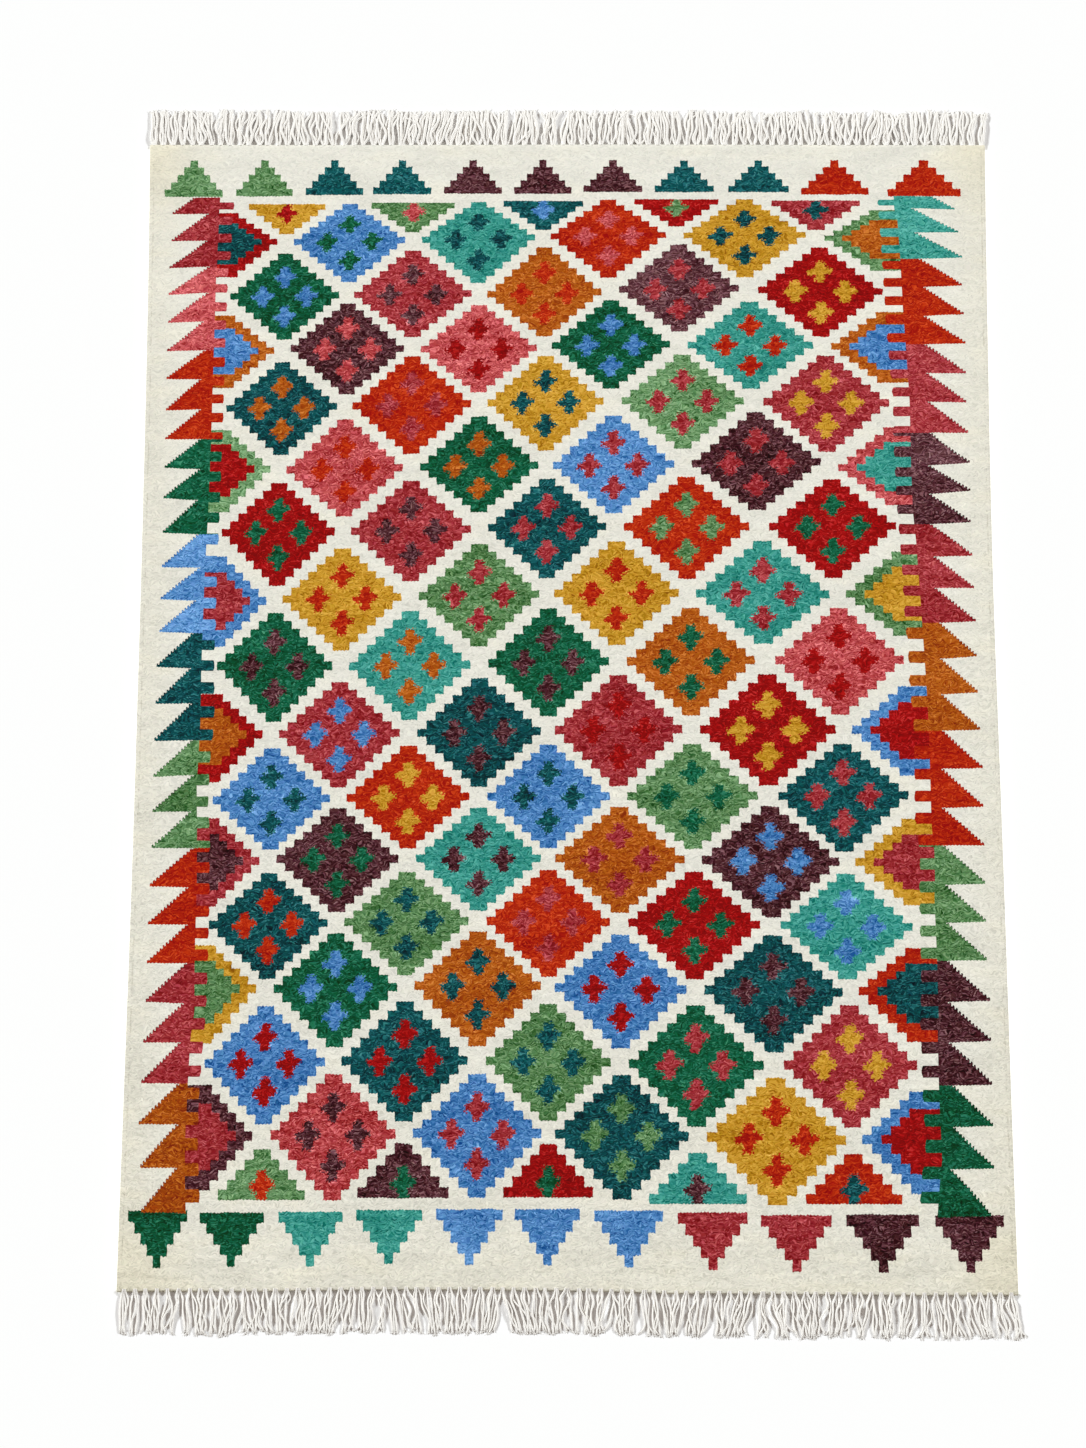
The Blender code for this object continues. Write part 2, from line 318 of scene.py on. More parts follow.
class RugYarns(bpy.types.PropertyGroup):
    """Colours of the yarns."""
    cream: tint("Cream", 226, 224, 213)
    sage: tint("Sage", 83, 125, 76)
    forest: tint("Forest", 2, 85, 55)
    petrol: tint("Petrol", 0, 69, 73)
    jade: tint("Jade", 49, 141, 129)
    sky: tint("Sky", 67, 121, 180)
    plum: tint("Plum", 75, 33, 40)
    crimson: tint("Crimson", 153, 42, 48)
    rose: tint("Rose", 180, 67, 70)
    vermilion: tint("Vermilion", 172, 32, 0)
    madder: tint("Madder", 148, 0, 0)
    ochre: tint("Ochre", 169, 82, 7)
    gold: tint("Gold", 191, 140, 35)
    warp: tint("Cotton warp", 250, 247, 242)


class RugCloth(bpy.types.PropertyGroup):
    """Sizes of the woven cloth."""
    width: metres("Width", "Selvedge to selvedge at the waist", 1.218)
    length: metres("Length", "Head edge to foot edge", 1.780)
    thickness: metres("Thickness", "Wool weft over cotton warp", 0.0042)
    ripple: metres("Ripple", "How far the cloth lifts in places", 0.0009)
    cells_across: whole("Cells across", "Mesh cells from side to side", 164)
    cells_along: whole("Cells along", "Mesh cells from end to end", 237)


class RugFringe(bpy.types.PropertyGroup):
    """Sizes of the warp fringes."""
    head_bundles: whole("Head bundles", "Groups of warp ends at the head", 88)
    foot_bundles: whole("Foot bundles", "Groups of warp ends at the foot", 83)
    radius: metres("Yarn radius", "Half the thickness of a warp end", 0.0015)
    head_length: metres("Head fringe", "Mean length at the head", 0.0556)
    foot_length: metres("Foot fringe", "Mean length at the foot", 0.0582)
    seed: whole("Seed", "Start of the fringe's own randomness", 7)


class RugStage(bpy.types.PropertyGroup):
    """Camera and floor."""
    distance: metres("Camera distance", "From the rug's middle", 9.4571)
    elevation: FloatProperty(name="Camera elevation", description="Above the floor",
                             default=math.radians(66.036), subtype="ANGLE")
    lens: FloatProperty(name="Lens", description="Focal length in millimetres", default=166.03)
    floor: tint("Floor", 250, 250, 250)


# ---- materials

GAMMA = 2.2  # the mottle is added to colours as they look on a screen
CENTRE = (-0.5, -0.5, -0.5)  # sets a noise's colour round zero


def maths(operation, kind="Math"):
    """A method that sends a socket, and what it meets, through one node."""
    return lambda self, *others: self.sum(operation, self, *others, kind=kind)


class Wire:
    """One output socket of a material, so that its maths reads as plain sums."""
    __add__ = __radd__ = maths("ADD")
    __sub__, __truediv__ = maths("SUBTRACT"), maths("DIVIDE")
    __mul__ = __rmul__ = maths("MULTIPLY")
    __gt__, __lt__ = maths("GREATER_THAN"), maths("LESS_THAN")
    __abs__, __round__, __floor__ = maths("ABSOLUTE"), maths("ROUND"), maths("FLOOR")
    either = maths("MAXIMUM")
    moved, scaled = maths("ADD", "VectorMath"), maths("MULTIPLY", "VectorMath")
    at_least, floored = maths("MAXIMUM", "VectorMath"), maths("FLOOR", "VectorMath")

    def __init__(self, finish, socket):
        self.finish, self.socket = finish, socket

    def __rsub__(self, other):
        return self.sum("SUBTRACT", other, self)

    def sum(self, operation, *values, kind="Math"):
        return self.finish.node(kind, {"operation": operation}, dict(enumerate(values)))

    def rise(self, low, high):
        """0 below low and 1 above high, smooth between."""
        return self.finish.node("MapRange", {"interpolation_type": "SMOOTHSTEP"},
                                {"Value": self, "From Min": low, "From Max": high})

    def parts(self):
        """The three numbers of a vector."""
        first = self.finish.node("SeparateXYZ", values={0: self})
        return [Wire(self.finish, socket) for socket in first.socket.node.outputs]

    def dimmed(self, factor):
        """A vector times one number."""
        return self.finish.node("VectorMath", {"operation": "SCALE"}, {0: self, "Scale": factor})


class Finish:
    """A procedural material under construction."""

    def __init__(self, name, **constants):
        self.material = bpy.data.materials.new(name)
        self.material.use_nodes = True
        self.tree = self.material.node_tree
        self.shader = self.tree.nodes["Principled BSDF"]
        for socket, value in constants.items():
            self.shader.inputs[socket.replace("_", " ")].default_value = value

    def node(self, kind, settings=None, values=None, output=0):
        """Adds a node, sets it, then fills its sockets with values or links."""
        node = self.tree.nodes.new("ShaderNode" + kind)
        for key, value in (settings or {}).items():
            if key == "stops":
                for place, colour in value[2:]:
                    node.color_ramp.elements.new(place)
                for element, (place, colour) in zip(node.color_ramp.elements, value):
                    element.position, element.color = place, (*colour, 1.0)[:4]
            elif key == "interpolation":
                node.color_ramp.interpolation = value
            else:
                setattr(node, key, value)
        for key, value in (values or {}).items():
            self.link(node.inputs[key], value)
        return Wire(self, node.outputs[output])

    def link(self, socket, value):
        if isinstance(value, Wire):
            self.tree.links.new(value.socket, socket)
        else:
            socket.default_value = value

    def feed(self, name, wire):
        self.link(self.shader.inputs[name], wire)

    def attribute(self, name, output="Fac"):
        return self.node("Attribute", {"attribute_name": name}, output=output)

    def noise(self, vector, stretch, detail=0.0, output=0, roughness=0.5):
        values = {"Vector": vector.scaled((*stretch, 0.0)), "Scale": 1.0, "Detail": detail,
                  "Roughness": roughness}
        return self.node("TexNoise", None, values, output)

    def mix(self, factor, first, second):
        return self.node("Mix", {"data_type": "RGBA"}, {0: factor, 6: first, 7: second}, 2)


def wool_weave(yarns):
    """Tapestry weave: flat wool weft in stepped colours over hidden cotton warps."""
    wool = Finish("wool_weave", Roughness=0.95, Specular_IOR_Level=0.12)
    place = wool.node("TexCoord", output="Object").scaled((1000.0, 1000.0, 0.0))
    x, y, _ = place.parts()

    # Threads wander: each weft dips under every second warp, and steps are uneven.
    wander = wool.noise(place, (0.08, 0.08), 3.0, 1, 0.72)
    uneven_x, uneven_y, _ = wander.parts()
    sway_x, sway_y = uneven_x - 0.5, uneven_y - 0.5
    warp = x / WARP_PITCH
    comb = abs(warp - math.floor(warp) - 0.5) * 2.0 - 0.5

    # The motif: steps across and rows down from its middle, and the reach of the bars.
    a, b, bar_reach = wool.attribute("motif", "Vector").parts()
    low, high, reach = wool.attribute("limits", "Vector").parts()
    kind = wool.attribute("kind")
    slant = a
    a = abs(a + sway_x * 0.42)
    b = b + sway_y * 0.40 + comb * 0.08
    row = abs(round(b))
    clear_of_strip = (bar_reach > 0.0).either(kind > TRIANGLE - 0.5)
    inside = (reach - a - row > 0.0) * (b > low) * (b < high) * clear_of_strip

    # Crosses stand on the diamond's four arms, each climbing a little to the right.
    def cross(da, db, grow):
        bars = [(da < u + grow) * (db < v + grow) for u, v in CROSS_BARS]
        return functools.reduce(Wire.either, bars)
    side = (slant > 0.0) * 2.0 - 1.0
    side_rise, end_rise = (a - CROSS_STEP) * side * 0.12 - 0.06, slant * 0.12 - 0.11
    by_side = (low < -2.0) * (high > 2.0)
    cell = place.scaled((0.42, 0.55, 0.0)).floored()
    ragged = (wool.node("TexWhiteNoise", {"noise_dimensions": "2D"}, {"Vector": cell}) - 0.5) * 0.34

    def crosses(grow):
        sides = cross(abs(a - CROSS_STEP), abs(b + side_rise), grow + ragged) * by_side
        ends = cross(a, abs(abs(b + end_rise) - CROSS_ROW), grow + ragged)
        return sides.either(ends) * (kind < DIAMOND + 0.5)
    crossed = crosses(0.0)
    # An arrowhead's inner yarn fills a smaller arrowhead.
    heart = (kind > ARROWHEAD - 0.5) * (kind < TRIANGLE - 0.5) * (a + row < 5.0) * (row < 3.5)
    heart = heart * (kind < ARROWHEAD + 0.1).either(b > -2.5).either(bar_reach > 1.0)
    marked = crossed.either(heart) * inside

    # Saw teeth, their solid strip and the bars that stand out from it.
    slope, tooth_count, bar_count = wool.attribute("border", "Vector").parts()
    tooth_count = tooth_count + sway_y * 0.05 + comb * 0.02
    slope = slope + sway_x * 0.05
    tooth_number = math.floor(tooth_count)
    step_part = slope * TOOTH_STEPS - math.floor(slope * TOOTH_STEPS)
    knob = (step_part < 0.40) * 0.42 - step_part * 0.55 - 0.14
    depth = tooth_count - tooth_number - (slope * TOOTH_STEPS + knob) * STEP_CLIMB
    tooth = (depth > 0.0) * (slope < 1.0)
    strip = (slope < 0.0) * (bar_reach < 0.0)
    off_middle = abs(bar_count + sway_y * 0.06 - round(bar_count))
    bar = (off_middle < 0.25) * (bar_count < len(LEFT_BARS) - 0.5) * (
        bar_reach + sway_x * 0.2 + off_middle * off_middle * 1.2 < 1.02)
    border = tooth * (bar_reach < 0.0).either(bar)
    right = x > MIDDLE_X * 1000
    border = border.either(strip) * (tooth_count > right * 0.10 + TEETH_START)
    border = border * (tooth_count < TEETH_END)
    group = (math.floor((tooth_number + 1.0) / TEETH_IN_GROUP) + 0.5) / TEETH_GROUPS

    def teeth_yarns(names):
        """The colour and the mottle of one side's groups of teeth."""
        stops = [(number / TEETH_GROUPS, dye_lot(yarns, name, 0))
                 for number, name in enumerate(names.split())]
        ramp = wool.node("ValToRGB", {"interpolation": "CONSTANT", "stops": stops}, {0: group})
        return ramp, Wire(wool, ramp.socket.node.outputs[1])
    (left_yarn, left_tone), (right_yarn, right_tone) = map(teeth_yarns, (LEFT_YARNS, RIGHT_YARNS))
    teeth = wool.mix(right, left_yarn, right_yarn)
    teeth_tone = left_tone + (right_tone - left_tone) * right
    own = wool.node("TexWhiteNoise", {"noise_dimensions": "1D"}, {"W": tooth_number + right * 50.0})
    dyed = inside.either(border)

    # The undyed ground yellows towards the foot and the sides, with faint soiled patches
    # and a thin seam beside the selvedges.
    edge, _, _ = wool.node("UVMap", {"uv_map": "OFBake"}).parts()
    edge = (0.5 - abs(edge - 0.5)) * CLOTH_SPAN
    soil = wool.noise(place, (0.012, 0.03), 3.0)
    age = soil.rise(0.45, 0.75) * 0.34 + edge.rise(70.0, 10.0) * 0.28
    age = age + y.rise(-350.0, -850.0) * 0.22 + y.rise(-780.0, -880.0) * 0.18
    age = age + edge.rise(130.0, 20.0) * abs(y).rise(740.0, 870.0) * 0.55
    aged = [c * k for c, k in zip(yarns.cream, (0.960, 0.925, 0.825))]
    cream = wool.mix(age, (*yarns.cream, 1.0), (*aged, 1.0))
    seam = abs(edge - 6.0 - sway_x * 3.0).rise(1.3, 0.5)
    cream = wool.mix(seam * uneven_y.rise(0.45, 0.60) * 0.30, cream, SEAM_SHADE)

    # Ground, crosses and borders over one another, each with its yarn's own mottle.
    colour = wool.mix(inside, cream, wool.attribute("ground", "Color"))
    rim = (crosses(0.12) - crossed) * inside
    colour = wool.mix(marked, colour, wool.attribute("mark", "Color"))
    colour = wool.mix(border, colour, teeth)
    ground_tone, mark_tone = wool.attribute("ground", "Alpha"), wool.attribute("mark", "Alpha")
    tone = ground_tone + (mark_tone - ground_tone) * marked
    tone = tone + (teeth_tone - tone) * border
    tone = tone * dyed + (0.36 - y * 0.0001) * (1.0 - dyed)

    # Hand-spun weft: short wavy flecks, each of its own tone, streaks of uneven dye, and
    # slow changes of lot.  Dark yarns show pale flecks, pale yarns dark ones, all greyish.
    drift = wool.noise(place, (0.075, 0.075), 1.0, 1).moved(CENTRE)
    lines = place.moved(drift.scaled((18.0, 18.0, 0.0)))
    fleck = wool.node("TexVoronoi", {"voronoi_dimensions": "2D"},
                      {"Vector": lines.scaled((0.38, 0.80, 0.0)), "Scale": 1.0}, 1)
    shade, other, _ = fleck.parts()
    streak = wool.noise(lines, (0.012, 0.13), 1.0)
    lot = wool.noise(place, (0.006, 0.02))
    dark_yarn = wool.node("RGBToBW", values={0: colour}).rise(0.30, 0.02)
    pale_fleck, dark_fleck = shade.rise(0.55, 1.0), shade.rise(0.40, 0.0)
    change = (shade + other - 1.0) * 0.11 + (pale_fleck - 0.22) * (dark_yarn * 0.12 + 0.02)
    change = change - (dark_fleck - 0.20) * (0.12 - dark_yarn * 0.10)
    change = change + (streak - 0.5) * 0.20 + (lot - 0.5) * 0.10 + (own - 0.5) * border * 0.05
    change = change + rim * (other - 0.30) * 0.18 - (depth < 0.028) * tooth * border * 0.17
    change = change * tone + (soil - 0.5) * (1.0 - dyed) * 0.10
    colour = wool.node("Gamma", values={0: colour, 1: 1 / GAMMA})
    colour = colour.moved(wool.node("CombineXYZ", values=dict.fromkeys((0, 1, 2), change)))
    tinge = fleck.moved(CENTRE).dimmed(dyed * 0.02 + 0.01)
    colour = colour.moved(tinge).at_least((0.005, 0.005, 0.005))
    colour = wool.node("Gamma", values={0: colour, 1: GAMMA})
    wool.feed("Base Color", colour.dimmed(1.0 + y * 0.00004))

    rib = abs(math.floor(y / WEFT_PITCH) + 0.5 - y / WEFT_PITCH)
    height = shade * (0.35 + 0.65 * dyed) + rib * 0.15
    height = height + edge.rise(5.0, 2.5) * 0.6
    wool.feed("Normal", wool.node("Bump", None, {"Strength": 0.5, "Distance": 0.0004,
                                                 "Height": height}))
    return wool.material


def cotton_warp(yarns):
    """Loose ends of twisted white cotton, with painted shade in the ply grooves and on the sides
    turned to the floor.
    """
    cotton = Finish("cotton_warp", Roughness=0.9, Specular_IOR_Level=0.12)
    along_yarn, round_yarn, _ = cotton.node("UVMap", {"uv_map": "OFBake"}).parts()
    twist = along_yarn * 22.0 + round_yarn * 2.0
    ply = abs(twist - math.floor(twist) - 0.5) * 2.0
    shaded = [c * 0.9 for c in yarns.warp]
    colour = cotton.mix(ply.rise(0.0, 0.35), (*shaded, 1.0), (*yarns.warp, 1.0))
    # Painted shade: the yarns' sides and undersides are mixed towards a dimmer warp colour by the
    # under attribute.
    under = cotton.attribute("under").rise(0.22, 0.85) * 0.65
    underside_shade_colour = [c * k for c, k in zip(yarns.warp, (0.60, 0.54, 0.50))]
    colour = cotton.mix(under, colour, (*underside_shade_colour, 1.0))
    cotton.feed("Base Color", colour)
    cotton.feed("Normal", cotton.node("Bump", None, {"Strength": 0.4, "Distance": 0.0004,
                                                     "Height": ply}))
    return cotton.material


# ---- making the cloth

def half_width(cloth, part, side):
    """Half the cloth's width at a fraction of its length from the head."""
    if part < WAIST:
        flare = HEAD_FLARE * ((WAIST - part) / WAIST) ** 2
    else:
        flare = FOOT_FLARE * ((part - WAIST) / (1.0 - WAIST)) ** 1.2
    waver = WAVER * math.sin(9.0 * part + 1.7 * side) * math.sin(math.pi * part)
    return cloth.width / 2 + flare + waver


# The two end edges, from the cloth's middle.
def head_edge(cloth, x):
    return cloth.length / 2 - HEAD_BACK + WAVER * math.sin(7.0 * x + 0.8)


def foot_edge(cloth, x):
    across = min(max(x / cloth.width + 0.5, 0.0), 1.0)
    bow = along(FOOT_BOW, (x + HALF_SPAN) * 1000) / 1000
    skew = FOOT_SKEW * (2.0 * across ** 1.5 - 1.0)
    return -cloth.length / 2 - skew + WAVER * math.sin(8.0 * x) - bow


def column(number, down):
    """A lattice column's middle and half width at one height."""
    across, half = (list(zip(COLUMN_DOWN, values)) for values in zip(*COLUMNS[number]))
    return along(across, down), along(half, down)


class Motif:
    """One coloured figure: its own grid of steps across and rows down."""

    def __init__(self, kind, middle, half, down, up_row, down_row, low, high, names,
                 tilt=0.0, reach=HALF_STEPS):
        self.kind, self.middle, self.step, self.down = kind, middle, half / reach, down
        self.up_row, self.down_row, self.tilt = up_row, down_row, tilt
        self.limits = (low, high, reach)
        self.size = half, HALF_ROWS * (up_row + down_row) / 2
        self.names = (names + " " + names).split()[:2]

    def far(self, across, down):
        """How far a place is from the motif, in its own lattice measure."""
        return abs(across - self.middle) / self.size[0] + abs(down - self.down) / self.size[1]

    def place(self, across, down):
        """Steps and rows from the motif's middle."""
        rise = down - self.down + self.tilt * (across - self.middle)
        return ((across - self.middle) / self.step,
                rise / (self.up_row if rise < 0 else self.down_row))


def lattice():
    """Every motif between the two lines of end triangles."""
    motifs = []
    for first, *row in DIAMOND_ROWS:
        middles = [entry[1] for entry in row]
        for number, (top, middle, bottom, names) in enumerate(row):
            across, half = column(first + 2 * number, middle)
            before, after = max(number - 1, 0), min(number + 1, len(row) - 1)
            tilt = (middles[before] - middles[after]) / ((after - before) * NEXT_BUT_ONE)
            motifs.append(Motif(DIAMOND, across, half, middle, (middle - top) / HALF_ROWS,
                                (bottom - middle) / HALF_ROWS, -UNCUT, UNCUT, names, tilt))
    # A half diamond's middle lies a row and a half past its flat edge.
    for end, halves in ((-1, HEAD_HALVES), (1, FOOT_HALVES)):
        for number, (flat, point, names) in enumerate(halves):
            row = end * (flat - point) / END_ROWS
            across, half = column(1 + 2 * number, flat)
            low, high = sorted((-1.5 * end, -UNCUT * end))
            middle = flat + 1.5 * end * row
            motifs.append(Motif(DIAMOND, across, half, middle, row, row, low, high, names))
    for number, arrows in ((0, LEFT_ARROWS), (len(COLUMNS) - 1, RIGHT_ARROWS)):
        for top, tip, bottom, names in arrows:
            across, half = column(number, tip)
            kind = CUT_ARROWHEAD if names.endswith("cut") else ARROWHEAD
            motifs.append(Motif(kind, across, half, tip, (tip - top) / ARROW_ROWS,
                                (bottom - tip) / ARROW_ROWS, -ARROW_ROWS, ARROW_ROWS, names))
    return motifs


def triangles(table):
    """The stepped triangles along one end, from base to point."""
    motifs = []
    for left, right, base, point, names in table:
        row = (point - base) / END_ROWS
        motifs.append(Motif(TRIANGLE, (left + right) / 2, (right - left) / 2, base + row / 2,
                            row, row, -0.5, END_ROWS - 0.5, names, reach=END_ROWS - 0.4))
    return motifs


def side_border(across, down):
    """(tooth reach, tooth count, bar count, bar reach) of a place near a side."""
    left = across < HALF_SPAN * 1000
    lines = LEFT_LINES if left else RIGHT_LINES
    point, root, edge, bar = (along(line, down) for line in lines)
    reach = (root - across) / (root - point)
    inward = min(max(1.0 - reach, 0.0), 1.0)
    teeth = [tip + (notch - tip) * inward for tip, notch in (LEFT_TEETH if left else RIGHT_TEETH)]
    return (reach, count_at(teeth, down) - 1.0, count_at(LEFT_BARS if left else RIGHT_BARS, down),
            (across - edge) / (bar - edge))


def dye_lot(yarns, name, number):
    """A yarn's colour in one motif, a little off the others, with its mottle as alpha."""
    shift = 0.010 * math.sin(37.0 * number) + 0.045 * name.count("+") - 0.036 * name.count("-")
    name = name.strip("+-")
    parts = [max(part ** (1 / GAMMA) + shift, 0.0) ** GAMMA for part in getattr(yarns, name)]
    return (*parts, MOTTLE.get(name, 1.0))


def chart_motifs(mesh, yarns):
    """Writes on every face which motif it carries, and at its corners where in it they lie."""
    inner, head, foot = lattice(), triangles(HEAD_TRIANGLES), triangles(FOOT_TRIANGLES)
    for number, motif in enumerate(inner + head + foot):
        motif.colours = [dye_lot(yarns, name, number + 0.5 * place)
                         for place, name in enumerate(motif.names)]
    kinds = {"motif": ("FLOAT_VECTOR", "CORNER"), "border": ("FLOAT_VECTOR", "CORNER"),
             "limits": ("FLOAT_VECTOR", "FACE"), "kind": ("FLOAT", "FACE"),
             "ground": ("FLOAT_COLOR", "FACE"), "mark": ("FLOAT_COLOR", "FACE")}
    for name, (kind, domain) in kinds.items():
        mesh.attributes.new(name, kind, domain)
    layers = {name: mesh.attributes[name].data for name in kinds}
    places = [((v.co.x - MIDDLE_X + HALF_SPAN) * 1000, (HEAD_Y - v.co.y) * 1000)
              for v in mesh.vertices]
    for face in mesh.polygons:
        corners = [places[number] for number in face.vertices]
        across = sum(corner[0] for corner in corners) / len(corners)
        down = sum(corner[1] for corner in corners) / len(corners)
        at_head, at_foot = down < along(HEAD_LINE, across), down > along(FOOT_LINE, across)
        if at_head or at_foot:
            near = min(head if at_head else foot, key=lambda item: abs(item.middle - across))
        else:
            near = min((item for item in inner if abs(item.middle - across) < 150
                        and abs(item.down - down) < 200), key=lambda item: item.far(across, down))
        layers["limits"][face.index].vector = near.limits
        layers["kind"][face.index].value = near.kind
        for layer, colour in zip(("ground", "mark"), near.colours):
            layers[layer][face.index].color = colour
        by_side = not BORDER_REACH[0] <= across <= BORDER_REACH[1]
        for corner, (u, v) in zip(face.loop_indices, corners):
            reach, tooth, bar, bar_reach = side_border(u, v) if by_side else (9, 0, 0, 9)
            a, b = near.place(u, v)
            layers["motif"][corner].vector = (a, b, bar_reach)
            layers["border"][corner].vector = (reach, tooth, bar)


def deselect():
    bpy.ops.object.select_all(action="DESELECT")


def apply_modifier(item, kind, **settings):
    """Adds a modifier to an object, sets it and applies it."""
    modifier = item.modifiers.new(kind.lower(), kind)
    for key, value in settings.items():
        setattr(modifier, key, value)
    bpy.ops.object.modifier_apply(modifier=modifier.name)


class RUG_OT_cloth(bpy.types.Operator):
    """Weave the cloth with its lattice, borders and selvedges"""
    bl_idname = "rug.cloth"
    bl_label = "Weave cloth"

    def execute(self, context):
        cloth, yarns = context.scene.rug_cloth, context.scene.rug_yarns
        deselect()
        bpy.ops.mesh.primitive_grid_add(x_subdivisions=cloth.cells_across,
                                        y_subdivisions=cloth.cells_along, size=1.0)
        item = context.object
        item.name = item.data.name = "dhurrie_cloth"
        item.data.uv_layers[0].name = "OFBake"
        middle_y = HEAD_Y - cloth.length / 2
        for vertex in item.data.vertices:
            u, w = vertex.co.x + 0.5, vertex.co.y + 0.5
            left, right = half_width(cloth, 1.0 - w, -1), half_width(cloth, 1.0 - w, 1)
            x = -left + (left + right) * u
            foot, head = foot_edge(cloth, x), head_edge(cloth, x)
            lift = 0.5 + 0.5 * math.sin(5.1 * x + 2.3 * w) * math.sin(9.0 * w + 1.6 * x)
            vertex.co = (MIDDLE_X + x, middle_y + foot + (head - foot) * w,
                         cloth.thickness + cloth.ripple * lift ** 2)
        chart_motifs(item.data, yarns)
        apply_modifier(item, "SOLIDIFY", thickness=cloth.thickness, offset=-1.0)
        apply_modifier(item, "BEVEL", width=0.0012, segments=2, limit_method="ANGLE")
        bpy.ops.object.shade_smooth()
        item.data.materials.append(wool_weave(yarns))
        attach(item, "root")
        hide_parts("rug_cloth")
        return {"FINISHED"}


# ---- making the fringes

# How the warp ends lie at the head and at the foot, in metres.  A pair is a left and a
# right value, or the least and the most of a random one.
FRINGE_WAYS = {
    "corner": ((0.0060, 0.0050), (0.0105, 0.0100)),  # last roots, from the cloth's corners
    "splay": ((0.0030, 0.0060), (0.0015, 0.0120)),  # outward lean of the last groups
    "inset": (0.0012, 0.0034),  # roots, inside the cloth's edge
    "lean": (0.0038, 0.0054),  # sideways lean of a group
    "neck": ((0.0, 0.0018), (0.0009, 0.0018)),  # half a group's width at its root
    "spread": ((0.0047, 0.0058), (0.0038, 0.0061)),  # and once it has opened
    "opening": (0.0090, 0.0165),  # the length over which it opens
    "belly": ((-0.0010, 0.0020), (-0.0006, 0.0028)),  # how far its yarns then bow apart
    "yarns": ((4, 4, 5, 5), (3, 4, 4, 5)),  # in one group
    "thickness": (1.16, 0.83),  # of a yarn, against the set radius
    "slant": ((0.0010, 0.0022), (0.0, 0.0)),  # longer at the left than at the right
    "rise": (0.0010, 0.0034),  # of the roots over the floor
    "descent": (14.0, 9.0),  # how soon the yarns come down
}
YARN_STEPS = 16
# A group's core: how far out its points lie, their height and their thickness.
CORE = ((-0.003, 0.0016, 1.0), (0.003, 0.0013, 0.8), (0.009, 0.0008, 0.4))


